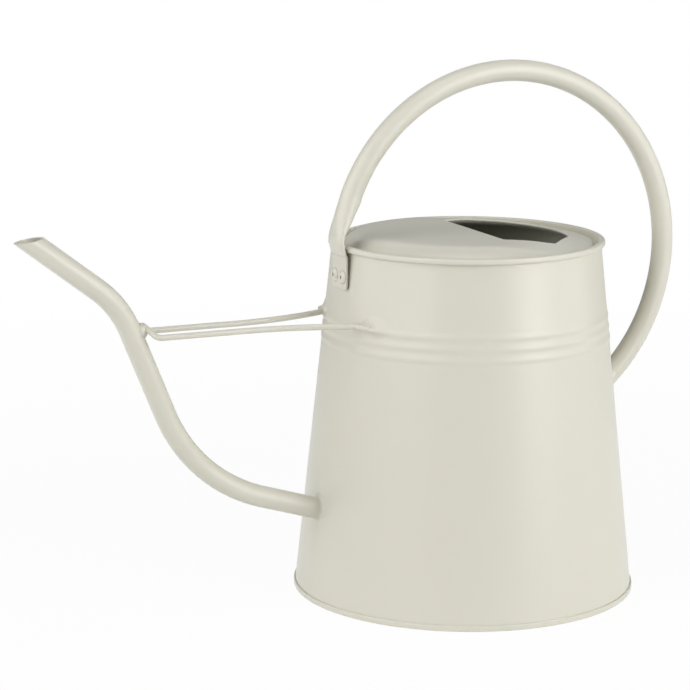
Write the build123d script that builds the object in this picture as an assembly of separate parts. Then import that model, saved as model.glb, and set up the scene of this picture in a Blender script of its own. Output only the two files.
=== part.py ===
from build123d import *
import os
from math import acos, asin, atan2, cos, degrees, pi, radians, sin, sqrt, tan

os.makedirs("parts", exist_ok=True)

# A sheet-metal watering can. It stands on the floor at z = 0 with its axis on Z.
# The spout points along -X, the handle bows back over +X, and y = 0 is the plane of symmetry.
# Lengths are millimetres and angles are degrees.

# Fits
fit_gap = 0.1                  # air between a sheet, tube, wire or shank and what it sits in
weld_gap = 0.05                # air between a weld bead and the metal under it
blend_share = 0.8              # most of a short edge that a rounding may take

# Body wall
wall_sheet = 0.6
wall_foot_radius = 102.1       # outside of the wall, carried down to the floor
wall_taper = 6.0               # inward lean of the wall
can_height = 212.7             # floor to the top of the rim bead
rib_count = 3
rib_pitch = 6.55
rib_height = 0.5
rib_width = 5.6
rib_band_height = 161.1        # floor to the middle of the band of ribs

# Base
base_sheet = 0.6
base_recess = 6.0              # floor to the underside of the panel
base_seam_height = 3.7
base_seam_fold = 0.8           # thickness of the fold outside the wall

# Lid
lid_sheet = 0.6
lid_crown_rise = 3.6           # flat crown above the top of the rim bead
lid_crown_radius = 43.0        # where the crown breaks into the slope
lid_crown_blend = 141.0        # radius of that break
lid_slope = 10.5
lid_gutter_width = 2.6
lid_gutter_depth = 4.5         # gutter floor below the top of the rim bead
lid_step_width = 1.6           # run of the steep step from the slope into the gutter
lid_step_blend = 1.2
rim_bead_height = 3.6
rim_bead_fold = 2.2            # how far the bead stands out from the wall
rim_bead_blend = 1.4
rim_bead_crown = 1.2           # metal over the top edge of the wall

# Filling mouth in the lid
mouth_front = 5.0              # x of the straight front edge
mouth_front_width = 73.6
mouth_widest = 34.0            # x of the widest point
mouth_width = 90.4
mouth_rear_width = 45.0
mouth_margin = 12.9            # lid left between the rear edge and the step
mouth_corner = 1.5
mouth_shoulder = 4.0           # corner radius at the widest point
mouth_hem = 2.8                # depth of the turned-down hem

# Spout
spout_diameter = 12.7
spout_wall = 1.0
spout_root_height = 56.0       # where the axis meets the wall
spout_root_angle = 17.1
spout_root_run = 37.4          # straight, from the wall to the lower bend
spout_lower_bend = 95.0
spout_rise_angle = 67.7
spout_rise_run = 54.7
spout_upper_bend = 60.5
spout_tip_angle = 37.6
spout_tip_run = 49.7           # from the upper bend to the middle of the mouth
spout_mouth_tilt = 8.9         # the cut dips towards the tip
spout_inset = 4.0              # tube inside the tank
spout_weld_leg = 2.6

# Handle
handle_diameter = 12.7
handle_wall = 0.8
handle_bow = 109.3             # radius of the tube's centre line
handle_drop = 11.5             # centre of the bow below the top of the rim bead
handle_front_rise = 29.5       # round tube ends this far above the rim bead
handle_front_neck = 15.0       # arc length from round to half squeezed
handle_front_throat = 27.0     # arc length from round to nearly flat
handle_rear_standoff = 14.6    # round tube ends this far from the wall
handle_rear_neck = 9.5         # arc length from round to half squeezed
handle_rear_throat = 6.3       # nearly flat section above the crease
handle_rear_lift = 1.2         # its inner side off the plane of the tab
handle_rear_drop = 23.5        # from the end of the round tube down to the rear crease
handle_squeeze_lead = 4.0      # first stretch of a squeezed end, still round
neck_thickness = 10.0          # half squeezed section
neck_width = 14.8
throat_thickness = 5.9         # nearly flat section
throat_width = 17.6
crease_thickness = 3.4
tab_length = 18.9
front_crease_drop = 4.0        # crease below the top of the rim bead
tab_corner = 2.0

# Blind rivets
rivet_shank = 4.0
rivet_head = 8.0
rivet_head_height = 1.5
rivet_head_blend = 1.1
rivet_bore = 2.2
rivet_bulb = 5.8               # swelling behind the wall
rivet_bulb_length = 5.0
rivet_bulb_blend = 0.6
rivet_bulb_wall = 0.8
rivet_seat = 0.7               # swelling starts this far behind the wall's inside
rivet_pitch = 10.5
rivet_edge = 5.4               # rivet centre to the end of the tab
mandrel_recess = 1.3           # broken stem below the top of the head

# Wire stay between spout and wall
stay_wire_diameter = 3.5
stay_height = 169.1
stay_spread = 22.5             # between the two legs
stay_sweep = 150.0             # bend that opens the legs towards the wall
stay_foot_bend = 8.0
stay_foot_angle = 18.5         # where the wire meets the wall, from the spout's side
stay_foot_turn = 10.5          # angle of wire lying on the wall
stay_shoulder = 4.6            # shoulder behind the nose
stay_shoulder_bend = 4.0
stay_nose_bend = 3.0
stay_spout_margin = 1.0        # nose below the upper bend of the spout
foot_weld_length = 21.0
foot_weld_width = 11.2
foot_weld_sink = 2.4           # middle of the pad below the wall's surface
foot_weld_lift = 1.0           # middle of the pad above the wire
foot_weld_angle = 25.0
neck_weld_diameter = 8.8
neck_weld_drop = 1.0           # middle of the weld below the nose, along the spout


def wall_radius(z):
    return wall_foot_radius - z * tan(radians(wall_taper))


def turned(outline):
    return revolve(Plane.XZ * make_face(outline), Axis.Z)


def offset_path(points, distance):
    # The same open path moved to the right of its direction, corners mitred
    moved = []
    for i, point in enumerate(points):
        before = points[max(i - 1, 0)]
        after = points[min(i + 1, len(points) - 1)]
        into = atan2(point[1] - before[1], point[0] - before[0]) if i else None
        out = atan2(after[1] - point[1], after[0] - point[0]) if i < len(points) - 1 else into
        into = out if into is None else into
        middle = (into + out) / 2
        reach = distance / cos((out - into) / 2)
        moved.append((point[0] + reach * sin(middle), point[1] - reach * cos(middle)))
    return moved


# Body wall: a thin cone with raised ribs, its edges held in the base seam and the rim bead
wall_bottom = base_sheet + fit_gap
slot_top = can_height - rim_bead_crown
wall_top = slot_top - fit_gap


def wall_side(depth):
    # One side of the wall's section, as deep under the outside as given
    edges = []
    start = (wall_radius(wall_bottom) - depth, wall_bottom)
    for i in range(rib_count):
        middle = rib_band_height + (i - (rib_count - 1) / 2) * rib_pitch
        low = middle - rib_width / 2
        high = middle + rib_width / 2
        foot = (wall_radius(low) - depth, low)
        crest = (wall_radius(middle) + rib_height - depth, middle)
        head = (wall_radius(high) - depth, high)
        edges += [Line(start, foot), ThreePointArc(foot, crest, head)]
        start = head
    edges.append(Line(start, (wall_radius(wall_top) - depth, wall_top)))
    return edges


def wall_sleeve():
    outside = wall_side(0)
    inside = wall_side(wall_sheet)
    foot = Line(outside[0] @ 0, inside[0] @ 0)
    head = Line(outside[-1] @ 1, inside[-1] @ 1)
    return turned(outside + inside + [foot, head])


def filled_wall():
    # All that a weld on the wall must not enter
    outside = wall_side(-weld_gap)
    foot = outside[0] @ 0
    head = outside[-1] @ 1
    return turned(outside + [Polyline(head, (0, head.Y), (0, foot.Y), foot)])


# Base: a recessed panel whose edge is folded up round the foot of the wall
def base_plate():
    def liner(z):
        return wall_radius(z) - wall_sheet - fit_gap

    panel_top = base_recess + base_sheet
    seam_radius = wall_radius(base_seam_height / 2) + fit_gap + base_seam_fold
    bend = base_sheet
    profile = [
        ((0, base_recess), 0),
        ((liner(base_recess) - base_sheet, base_recess), 0),
        ((liner(0) - base_sheet, 0), 0),
        ((seam_radius, 0), bend),
        ((seam_radius, base_seam_height), base_seam_fold / 3),
        ((wall_radius(base_seam_height) + fit_gap, base_seam_height), 0),
        ((wall_radius(base_sheet) + fit_gap, base_sheet), 0),
        ((liner(base_sheet), base_sheet), 0),
        ((liner(panel_top), panel_top), bend),
        ((0, panel_top), 0),
    ]
    points = [point for point, _ in profile]
    blends = [blend for _, blend in profile]
    return turned(FilletPolyline(*points, radius=blends, close=True))


# Lid: crown, slope, gutter and the bead rolled over the wall's top edge
crown_top = can_height + lid_crown_rise
gutter_floor = can_height - lid_gutter_depth
rim_radius = wall_radius(can_height - rim_bead_height / 2) + fit_gap + rim_bead_fold


def lid_liner(z):
    return wall_radius(z) - wall_sheet - fit_gap - lid_sheet


gutter_inner = lid_liner(gutter_floor) - lid_gutter_width
step_radius = gutter_inner - lid_step_width
step_top = crown_top - (step_radius - lid_crown_radius) * tan(radians(lid_slope))
dome = [(0, crown_top), (lid_crown_radius, crown_top), (step_radius, step_top)]


def lid_blank():
    bead_bottom = can_height - rim_bead_height
    gutter = [(gutter_inner, gutter_floor), (lid_liner(gutter_floor), gutter_floor)]
    top = dome + gutter + [(lid_liner(can_height), can_height)]
    under = offset_path(dome + gutter + [(lid_liner(slot_top), slot_top)], lid_sheet)
    bead = [
        (rim_radius, can_height),
        (rim_radius, bead_bottom),
        (wall_radius(bead_bottom) + fit_gap, bead_bottom),
        (wall_radius(slot_top) + fit_gap, slot_top),
    ]
    inner_blend = lid_step_blend / 2
    top_blends = [0, lid_crown_blend, lid_step_blend + lid_sheet, inner_blend, inner_blend, inner_blend]
    bead_blends = [rim_bead_blend, rim_bead_blend, 0, 0]
    under_blends = [0, inner_blend + lid_sheet, inner_blend + lid_sheet, lid_step_blend]
    under_blends += [lid_crown_blend - lid_sheet, 0]
    points = top + bead + under[::-1]
    return turned(FilletPolyline(*points, radius=top_blends + bead_blends + under_blends, close=True))


def mouth_outline():
    rear_radius = step_radius - mouth_margin
    half_rear = mouth_rear_width / 2
    rear_x = sqrt(rear_radius**2 - half_rear**2)
    sides = FilletPolyline(
        (rear_x, -half_rear),
        (mouth_widest, -mouth_width / 2),
        (mouth_front, -mouth_front_width / 2),
        (mouth_front, mouth_front_width / 2),
        (mouth_widest, mouth_width / 2),
        (rear_x, half_rear),
        radius=[mouth_shoulder, mouth_corner, mouth_corner, mouth_shoulder],
    )
    return make_face([sides, ThreePointArc((rear_x, half_rear), (rear_radius, 0), (rear_x, -half_rear))])


def lid():
    mouth = mouth_outline()
    blade = extrude(mouth, 2 * can_height)
    rim = extrude(offset(mouth, lid_sheet, kind=Kind.INTERSECTION), 2 * can_height) - blade
    hem_top = [(r, z - lid_sheet / 2) for r, z in dome]
    hem_bottom = [(r, z - mouth_hem) for r, z in dome]
    blends = [0, lid_crown_blend, 0, 0, lid_crown_blend, 0]
    hem_band = turned(FilletPolyline(*hem_top, *hem_bottom[::-1], radius=blends, close=True))
    return (lid_blank() - blade) + (rim & hem_band)


# Spout: a bent tube through the wall, its mouth cut nearly level
side_plane = Plane(origin=(0, 0, 0), x_dir=(-1, 0, 0), z_dir=(0, 1, 0))
spout_radius = spout_diameter / 2
root_direction = Vector(cos(radians(spout_root_angle)), sin(radians(spout_root_angle)))
root_point = Vector(wall_radius(spout_root_height), spout_root_height)
spout_start = root_point - root_direction * (wall_sheet + spout_inset)
rise_direction = Vector(cos(radians(spout_rise_angle)), sin(radians(spout_rise_angle)))
root_end = root_point + root_direction * spout_root_run
lower_bend = JernArc(root_end, root_direction, spout_lower_bend, spout_rise_angle - spout_root_angle)
rise_end = lower_bend @ 1 + rise_direction * spout_rise_run
upper_bend = JernArc(rise_end, rise_direction, spout_upper_bend, spout_tip_angle - spout_rise_angle)
tip_direction = upper_bend % 1
mouth_centre = upper_bend @ 1 + tip_direction * spout_tip_run


def spout_path():
    beyond_mouth = mouth_centre + tip_direction * 2 * spout_diameter
    return Wire([
        Line(spout_start, root_end),
        lower_bend,
        Line(lower_bend @ 1, rise_end),
        upper_bend,
        Line(upper_bend @ 1, beyond_mouth),
    ])


def spout_rod(radius):
    path = side_plane * spout_path()
    return sweep(Plane(origin=path @ 0, z_dir=path % 0) * Circle(radius), path=path)


def spout_tube():
    tilt = radians(spout_mouth_tilt)
    cut = Plane(origin=side_plane.from_local_coords(mouth_centre), z_dir=(-sin(tilt), 0, cos(tilt)))
    tube = spout_rod(spout_radius) - spout_rod(spout_radius - spout_wall)
    return split(tube, bisect_by=cut, keep=Keep.BOTTOM)


def root_plane(distance):
    # Square to the spout's root, at a distance outside the wall
    origin = side_plane.from_local_coords(root_point + root_direction * distance)
    end = side_plane.from_local_coords(root_point + root_direction * (distance + 1))
    return Plane(origin=origin, z_dir=end - origin)


def spout_hole(radius, depth):
    return root_plane(-depth) * extrude(Circle(radius), 2 * depth)


def spout_weld(wall_block):
    cone_height = 2 * spout_weld_leg
    cone = Cone(
        spout_radius + 2 * spout_weld_leg,
        spout_radius + weld_gap + spout_wall / 4,
        cone_height,
        align=(Align.CENTER, Align.CENTER, Align.MIN),
    )
    fillet_ring = root_plane(-spout_weld_leg) * cone
    return fillet_ring - spout_hole(spout_radius + weld_gap, 2 * cone_height) - wall_block


# Handle: a bow of round tube, each end squeezed in steps to a flat tab
bow_centre_z = can_height - handle_drop
tab_thickness = 2 * handle_wall
tab_width = pi / 2 * (handle_diameter - handle_wall)
front_tab_bottom = can_height - front_crease_drop - tab_length
front_tab_radius = max(rim_radius, wall_radius(front_tab_bottom)) + fit_gap
bow_centre_x = handle_bow - front_tab_radius - tab_thickness / 2
bow_centre = Vector(bow_centre_x, 0, bow_centre_z)
front_angle = pi - asin((can_height + handle_front_rise - bow_centre_z) / handle_bow)
taper = radians(wall_taper)
rear_reach = handle_rear_standoff + wall_foot_radius - bow_centre_x - bow_centre_z * tan(taper)
rear_angle = taper - acos(rear_reach * cos(taper) / handle_bow)
rear_crease = bow_centre_z + handle_bow * sin(rear_angle) - handle_rear_drop
rear_tab_bottom = rear_crease - tab_length * cos(taper)


def bow_plane(angle, turn, thickness=handle_diameter):
    # Square to the bow at an angle, looking on towards the end that the turn leads to,
    # placed so that a section of this thickness keeps the outer side of the bow
    out = Vector(cos(angle), 0, sin(angle))
    along = Vector(-sin(angle), 0, cos(angle)) * turn
    radius = handle_bow + (handle_diameter - thickness) / 2
    return Plane(origin=bow_centre + out * radius, x_dir=(0, turn, 0), z_dir=along)


# Outer face of each tab: local y runs up the tab from its end, local z points outward
front_tab_plane = Plane(
    origin=(-front_tab_radius - tab_thickness, 0, front_tab_bottom),
    x_dir=(0, -1, 0),
    z_dir=(-1, 0, 0),
)
wall_normal = Vector(cos(taper), 0, sin(taper))
rear_tab_foot = Vector(wall_radius(rear_tab_bottom), 0, rear_tab_bottom)
rear_tab_plane = Plane(
    origin=rear_tab_foot + wall_normal * (fit_gap + tab_thickness),
    x_dir=(0, 1, 0),
    z_dir=wall_normal,
)


def tab_section(tab_plane, height, thickness, lift=0.0):
    # Plane across a tab, for a section whose inner side lies over the tab's inner face
    centre = tab_plane.from_local_coords((0, height, lift + thickness / 2 - tab_thickness))
    return Plane(origin=centre, x_dir=tab_plane.x_dir, z_dir=-tab_plane.y_dir)


def squeezed_end(tab_plane, angle, turn, neck_run, throat_plane, skin):
    # Loft from the round tube to the crease of a tab, as thick a skin inside as given
    lead_plane = bow_plane(angle + turn * handle_squeeze_lead / handle_bow, turn)
    neck_plane = bow_plane(angle + turn * neck_run / handle_bow, turn, neck_thickness)
    crease_plane = tab_section(tab_plane, tab_length, crease_thickness)
    return loft([
        bow_plane(angle, turn) * Circle(handle_diameter / 2 - skin),
        lead_plane * Circle(handle_diameter / 2 - skin),
        neck_plane * Ellipse(neck_width / 2 - skin, neck_thickness / 2 - skin),
        throat_plane * Ellipse(throat_width / 2 - skin, throat_thickness / 2 - skin),
        crease_plane * Ellipse(tab_width / 2 - skin, crease_thickness / 2 - skin),
    ])


def bow_rod(radius):
    arc = Plane(origin=bow_centre, x_dir=(1, 0, 0), z_dir=(0, -1, 0)) * CenterArc(
        (0, 0), handle_bow, degrees(rear_angle), degrees(front_angle - rear_angle)
    )
    return sweep(bow_plane(rear_angle, 1) * Circle(radius), path=arc)


def tab_plate(tab_plane):
    half = tab_width / 2
    outline = FilletPolyline(
        (-half, tab_length),
        (-half, 0),
        (half, 0),
        (half, tab_length),
        radius=[tab_corner, tab_corner],
    )
    face = make_face([outline, Line((half, tab_length), (-half, tab_length))])
    return tab_plane * extrude(face, -tab_thickness)


def handle_skin(skin):
    front_throat = bow_plane(front_angle + handle_front_throat / handle_bow, 1, throat_thickness)
    rear_height = tab_length + handle_rear_throat
    rear_throat = tab_section(rear_tab_plane, rear_height, throat_thickness, handle_rear_lift)
    front = squeezed_end(front_tab_plane, front_angle, 1, handle_front_neck, front_throat, skin)
    rear = squeezed_end(rear_tab_plane, rear_angle, -1, handle_rear_neck, rear_throat, skin)
    return bow_rod(handle_diameter / 2 - skin) + front + rear


def rivet_planes(tab_plane):
    return [
        tab_plane * Plane(origin=(side * rivet_pitch / 2, rivet_edge, 0))
        for side in (-1, 1)
    ]


def rivet_holes(tab_plane):
    depth = rivet_grip(tab_plane) + rivet_seat
    hole = extrude(Circle(rivet_shank / 2 + fit_gap), depth, both=True)
    return [plane * hole for plane in rivet_planes(tab_plane)]


def handle_tube():
    handle = handle_skin(0) + tab_plate(front_tab_plane) + tab_plate(rear_tab_plane)
    return handle - handle_skin(handle_wall) - rivet_holes(front_tab_plane) - rivet_holes(rear_tab_plane)


# Blind rivets: a domed head on the tab, a swelling behind the wall, and a broken stem inside
def rivet_grip(tab_plane):
    # From the tab's outer face to the inside of the wall, along the rivet
    centre = tab_plane.from_local_coords((rivet_pitch / 2, rivet_edge, 0))
    outer = sqrt(wall_radius(centre.Z) ** 2 - centre.Y**2)
    return (abs(centre.X) - outer) * abs(tab_plane.z_dir.X) + wall_sheet


def rivet_body(tab_plane):
    grip = rivet_grip(tab_plane) + rivet_seat
    bulb_end = grip + rivet_bulb_length
    chamber = rivet_bulb / 2 - rivet_bulb_wall
    head_blend = min(rivet_head_blend, blend_share * rivet_head_height)
    bulb_blend = min(rivet_bulb_blend, blend_share * (rivet_bulb - rivet_shank) / 2)
    profile = [
        ((rivet_bore / 2, rivet_head_height), 0),
        ((rivet_head / 2, rivet_head_height), head_blend),
        ((rivet_head / 2, 0), 0),
        ((rivet_shank / 2, 0), 0),
        ((rivet_shank / 2, -grip), 0),
        ((rivet_bulb / 2, -grip), bulb_blend),
        ((rivet_bulb / 2, -bulb_end), bulb_blend),
        ((0, -bulb_end), 0),
        ((0, rivet_bulb_wall - bulb_end), 0),
        ((chamber, rivet_bulb_wall - bulb_end), 0),
        ((chamber, -grip - rivet_bulb_wall), 0),
        ((rivet_bore / 2, -grip - rivet_bulb_wall), 0),
    ]
    points = [point for point, _ in profile]
    blends = [blend for _, blend in profile]
    return turned(FilletPolyline(*points, radius=blends, close=True))


def rivet_mandrel(tab_plane):
    grip = rivet_grip(tab_plane) + rivet_seat
    stem = rivet_bore / 2 - fit_gap
    head = rivet_bulb / 2 - rivet_bulb_wall - fit_gap
    head_top = -grip - rivet_bulb_wall - fit_gap
    head_bottom = rivet_bulb_wall + fit_gap - grip - rivet_bulb_length
    return turned(Polyline(
        (0, rivet_head_height - mandrel_recess),
        (stem, rivet_head_height - mandrel_recess),
        (stem, head_top),
        (head, head_top),
        (head, head_bottom),
        (0, head_bottom),
        close=True,
    ))


def at_rivets(tab_plane, solid):
    return Compound([plane * solid for plane in rivet_planes(tab_plane)])


# Stay: one hairpin of wire, its nose on the spout and its feet along the wall
wire_radius = stay_wire_diameter / 2
leg_offset = stay_spread / 2
stay_plane = Plane(origin=(0, 0, stay_height), x_dir=(-1, 0, 0), z_dir=(0, 0, -1))
foot_ring = wall_radius(stay_height) + rib_height + (wire_radius + fit_gap) / cos(taper)
rear_normal = Vector(-rise_direction.Y, rise_direction.X)
spout_seat = rise_end - rise_direction * stay_spout_margin
nose = spout_seat + rear_normal * (spout_radius + wire_radius + fit_gap)
shoulder = Vector(nose.X - stay_shoulder, stay_height)


def nose_corner():
    # Sharp corner whose rounded nose just reaches the spout
    reach = (nose - shoulder).length
    spread = stay_nose_bend / leg_offset
    short = reach - stay_nose_bend
    root = sqrt(short**2 - (1 - spread**2) * (short**2 - stay_nose_bend**2))
    return shoulder + (nose - shoulder).normalized() * (short + root) / (1 - spread**2)


def foot_path():
    # From the straight leg to the wire's end, on the side of positive y
    turn_end = radians(90 - stay_foot_angle)
    foot = radians(stay_foot_angle)
    swing = leg_offset + stay_sweep - (stay_foot_bend + foot_ring) * sin(foot)
    turn_start = acos(swing / (stay_sweep - stay_foot_bend))
    leg_end = foot_ring * cos(foot) + stay_foot_bend * (sin(turn_end) - sin(turn_start))
    leg_end += stay_sweep * sin(turn_start)
    opening = JernArc((leg_end, leg_offset), (-1, 0), stay_sweep, -degrees(turn_start))
    bend = JernArc(opening @ 1, opening % 1, stay_foot_bend, degrees(turn_start - turn_end))
    return [opening, bend, CenterArc((0, 0), foot_ring, stay_foot_angle, stay_foot_turn)]


def stay_path():
    feet = [stay_plane * edge for edge in foot_path()]
    other_feet = [edge.mirror(Plane.XZ) for edge in feet]
    leg = feet[0] @ 0
    shoulder_x = -shoulder.X
    corner = nose_corner()
    hairpin = FilletPolyline(
        leg,
        (shoulder_x, leg_offset, stay_height),
        (-corner.X, 0, corner.Y),
        (shoulder_x, -leg_offset, stay_height),
        (leg.X, -leg.Y, leg.Z),
        radius=[stay_shoulder_bend, stay_nose_bend, stay_shoulder_bend],
    )
    return Wire(other_feet + hairpin.edges() + feet)


def stay_rod(radius):
    path = stay_path()
    return sweep(Plane(origin=path @ 0, z_dir=path % 0) * Circle(radius), path=path)


# Welds of the stay: an oval pad over each foot and a bead round the nose
def foot_weld(side, wall_block, wire):
    angle = radians(foot_weld_angle)
    height = stay_height + foot_weld_lift
    ring = wall_radius(height) - foot_weld_sink
    half_length = foot_weld_length / 2
    arc = EllipticalCenterArc((0, 0), half_length, foot_weld_width / 2, arc_size=180)
    oval = revolve(make_face([arc, Line((-half_length, 0), (half_length, 0))]), Axis.X)
    place = Plane(
        origin=(-ring * cos(angle), side * ring * sin(angle), height),
        x_dir=(sin(angle), side * cos(angle), 0),
        z_dir=(0, 0, 1),
    )
    return place * oval - wall_block - wire


def neck_weld(wire):
    seat = spout_seat + rear_normal * spout_radius - rise_direction * neck_weld_drop
    bead = Pos(*side_plane.from_local_coords(seat)) * Sphere(neck_weld_diameter / 2)
    return bead - spout_rod(spout_radius + weld_gap) - wire


wall_block = filled_wall()
body_shell = wall_sleeve() - spout_hole(spout_radius + fit_gap, 4 * spout_radius)
body_shell = body_shell - rivet_holes(front_tab_plane) - rivet_holes(rear_tab_plane)
fat_wire = stay_rod(wire_radius + weld_gap)

nodes = {
    "body_shell": body_shell,
    "base_plate": base_plate(),
    "lid": lid(),
    "spout_tube": spout_tube(),
    "spout_weld": spout_weld(wall_block),
    "handle_tube": handle_tube(),
    "front_rivets": at_rivets(front_tab_plane, rivet_body(front_tab_plane)),
    "front_rivet_mandrels": at_rivets(front_tab_plane, rivet_mandrel(front_tab_plane)),
    "rear_rivets": at_rivets(rear_tab_plane, rivet_body(rear_tab_plane)),
    "rear_rivet_mandrels": at_rivets(rear_tab_plane, rivet_mandrel(rear_tab_plane)),
    "stay_wire": stay_rod(wire_radius),
    "stay_foot_weld_left": foot_weld(-1, wall_block, fat_wire),
    "stay_foot_weld_right": foot_weld(1, wall_block, fat_wire),
    "stay_neck_weld": neck_weld(fat_wire),
}

for name, node in nodes.items():
    export_step(node, f"parts/{name}.step")
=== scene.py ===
import math
import bmesh
import bpy
from mathutils import Matrix, Vector
from mathutils.geometry import interpolate_bezier


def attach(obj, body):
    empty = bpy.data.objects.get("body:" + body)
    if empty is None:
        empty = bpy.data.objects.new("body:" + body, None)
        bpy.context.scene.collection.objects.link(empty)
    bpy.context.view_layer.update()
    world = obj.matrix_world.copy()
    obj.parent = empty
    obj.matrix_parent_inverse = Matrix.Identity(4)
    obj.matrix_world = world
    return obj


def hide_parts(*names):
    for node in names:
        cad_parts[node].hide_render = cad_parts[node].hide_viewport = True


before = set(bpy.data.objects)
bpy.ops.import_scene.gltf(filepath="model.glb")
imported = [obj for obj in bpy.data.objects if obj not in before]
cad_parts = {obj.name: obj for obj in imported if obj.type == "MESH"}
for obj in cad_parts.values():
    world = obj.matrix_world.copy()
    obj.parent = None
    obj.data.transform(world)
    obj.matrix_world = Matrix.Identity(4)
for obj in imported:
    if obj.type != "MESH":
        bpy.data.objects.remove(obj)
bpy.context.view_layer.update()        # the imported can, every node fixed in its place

print("frame loaded:", len(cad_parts), "nodes")

# The can stands at the origin: spout towards -X, handle towards +X, metres throughout
can = {
    "footRadius": 0.1021,            # outside of the wall at floor level
    "taper": math.radians(6),
    "height": 0.2127,                # top of the rim bead
    "sheet": 0.0006,
    "gap": 0.0001,                   # play between two sheets
}


def wallRadius(z):
    return can["footRadius"] - z * math.tan(can["taper"])


# Working habits shared by all pieces
def freeHands():
    if bpy.context.mode != "OBJECT":
        bpy.ops.object.mode_set(mode="OBJECT")
    bpy.ops.object.select_all(action="DESELECT")


def nameIt(piece, name):
    piece.name = name
    piece.data.name = name


def fullTurn(count):
    return [2 * math.pi * i / count for i in range(count)]


def softStep(share):
    # eases from 0 to 1, flat at both ends
    share = min(max(share, 0), 1)
    return share * share * (3 - 2 * share)


def roundedTurn(before, corner, after, radius, steps):
    # arc that takes a line round one corner
    back = (before - corner).normalized()
    ahead = (after - corner).normalized()
    half = back.angle(ahead) / 2
    middle = corner + (back + ahead).normalized() * radius / math.sin(half)
    start = corner + back * radius / math.tan(half) - middle
    end = corner + ahead * radius / math.tan(half) - middle
    return [middle + start.slerp(end, k / steps).normalized() * radius for k in range(steps + 1)]


def roundCorners(corners, steps=6):
    # open outline of (x, z, blend) corners, every blend drawn as an arc
    points = [Vector(corner[:2]) for corner in corners]
    outline = []
    for i, point in enumerate(points):
        blend = corners[i][2]
        if blend:
            outline += roundedTurn(points[i - 1], point, points[i + 1], blend, steps)
        else:
            outline.append(point)
    return outline


def easeThrough(points, steps):
    # smooth line through given points
    line = []
    for i in range(len(points) - 1):
        before = points[max(i - 1, 0)]
        after = points[min(i + 2, len(points) - 1)]
        start, end = points[i], points[i + 1]
        lead = start + (end - before) / 6
        trail = end - (after - start) / 6
        line += interpolate_bezier(start, lead, trail, end, steps + 1)[:-1]
    return line + [points[-1]]


def closeSeams():
    bpy.ops.mesh.select_all(action="SELECT")
    bpy.ops.mesh.remove_doubles(threshold=0.000001)
    bpy.ops.mesh.normals_make_consistent(inside=False)


def spinOutline(name, outline, steps):
    # half section drawn point by point beside the Z axis, then spun round it
    freeHands()
    bpy.ops.mesh.primitive_plane_add(size=0.01)
    piece = bpy.context.object
    nameIt(piece, name)
    bpy.ops.object.mode_set(mode="EDIT")
    bpy.ops.mesh.merge(type="CENTER")
    bpy.ops.transform.translate(value=(outline[0][0], 0, outline[0][1]))
    for here, ahead in zip(outline, outline[1:]):
        move = (ahead[0] - here[0], 0, ahead[1] - here[1])
        bpy.ops.mesh.extrude_region_move(TRANSFORM_OT_translate={"value": move})
    bpy.ops.mesh.select_all(action="SELECT")
    bpy.ops.mesh.spin(steps=steps, angle=2 * math.pi, center=(0, 0, 0), axis=(0, 0, 1))
    closeSeams()
    bpy.ops.object.mode_set(mode="OBJECT")
    return piece


def placeRing(piece, order, points):
    # every selected vertex goes to its numbered place on the ring
    mesh = bmesh.from_edit_mesh(piece.data)
    placed = {}
    for vert in [v for v in mesh.verts if v.select]:
        number = order[tuple(vert.co)]
        vert.co = points[number]
        placed[tuple(vert.co)] = number
    bmesh.update_edit_mesh(piece.data)
    return placed


def skinRings(name, rings, capStart=False, capEnd=False):
    # a circle is set on the first ring and extruded from ring to ring
    freeHands()
    bpy.ops.mesh.primitive_circle_add(vertices=len(rings[0]), radius=0.01)
    piece = bpy.context.object
    nameIt(piece, name)
    bpy.ops.object.mode_set(mode="EDIT")
    mesh = bmesh.from_edit_mesh(piece.data)
    order = {tuple(vert.co): i for i, vert in enumerate(mesh.verts)}
    order = placeRing(piece, order, rings[0])
    if capStart:
        bpy.ops.mesh.edge_face_add()
        bpy.ops.mesh.select_mode(type="EDGE")
    for ring in rings[1:]:
        bpy.ops.mesh.extrude_edges_indiv()
        order = placeRing(piece, order, ring)
    if capEnd:
        bpy.ops.mesh.edge_face_add()
    bpy.ops.mesh.select_mode(type="VERT")
    closeSeams()
    bpy.ops.object.mode_set(mode="OBJECT")
    return piece


def thicken(piece, sheet):
    # the sheet grows inwards from its outer skin
    thickness = piece.modifiers.new("sheet", "SOLIDIFY")
    thickness.thickness = sheet
    thickness.offset = -1
    thickness.use_even_offset = True
    bpy.context.view_layer.objects.active = piece
    bpy.ops.object.modifier_apply(modifier=thickness.name)


def smoothOver(piece, degrees):
    freeHands()
    piece.select_set(True)
    bpy.context.view_layer.objects.active = piece
    bpy.ops.object.shade_smooth_by_angle(angle=math.radians(degrees))


def finishPiece(piece, material, slot, *nodes):
    piece.data.materials.clear()
    piece.data.materials.append(material)
    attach(piece, "root")
    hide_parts(*nodes)


# Finishes
coatLook = {
    "tones": ((0.658, 0.645, 0.556, 1), (0.668, 0.650, 0.555, 1)),
    "roughness": (0.28, 0.33),
    "driftScale": 22,                # clouds of tone and gloss per metre
    "driftDetail": 3,
    "peelScale": 750,                # bumps per metre
    "peelDetail": 1,
    "peelDepth": 0.000009,
    "peelStrength": 0.35,
}

steelLook = {
    "tones": ((0.16, 0.155, 0.14, 1), (0.28, 0.27, 0.25, 1)),
    "roughness": (0.45, 0.7),
    "driftScale": 2500,
    "driftDetail": 2,
}


def addNode(tree, kind, **settings):
    node = tree.nodes.new(kind)
    for key, value in settings.items():
        setattr(node, key, value)
    return node


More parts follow.
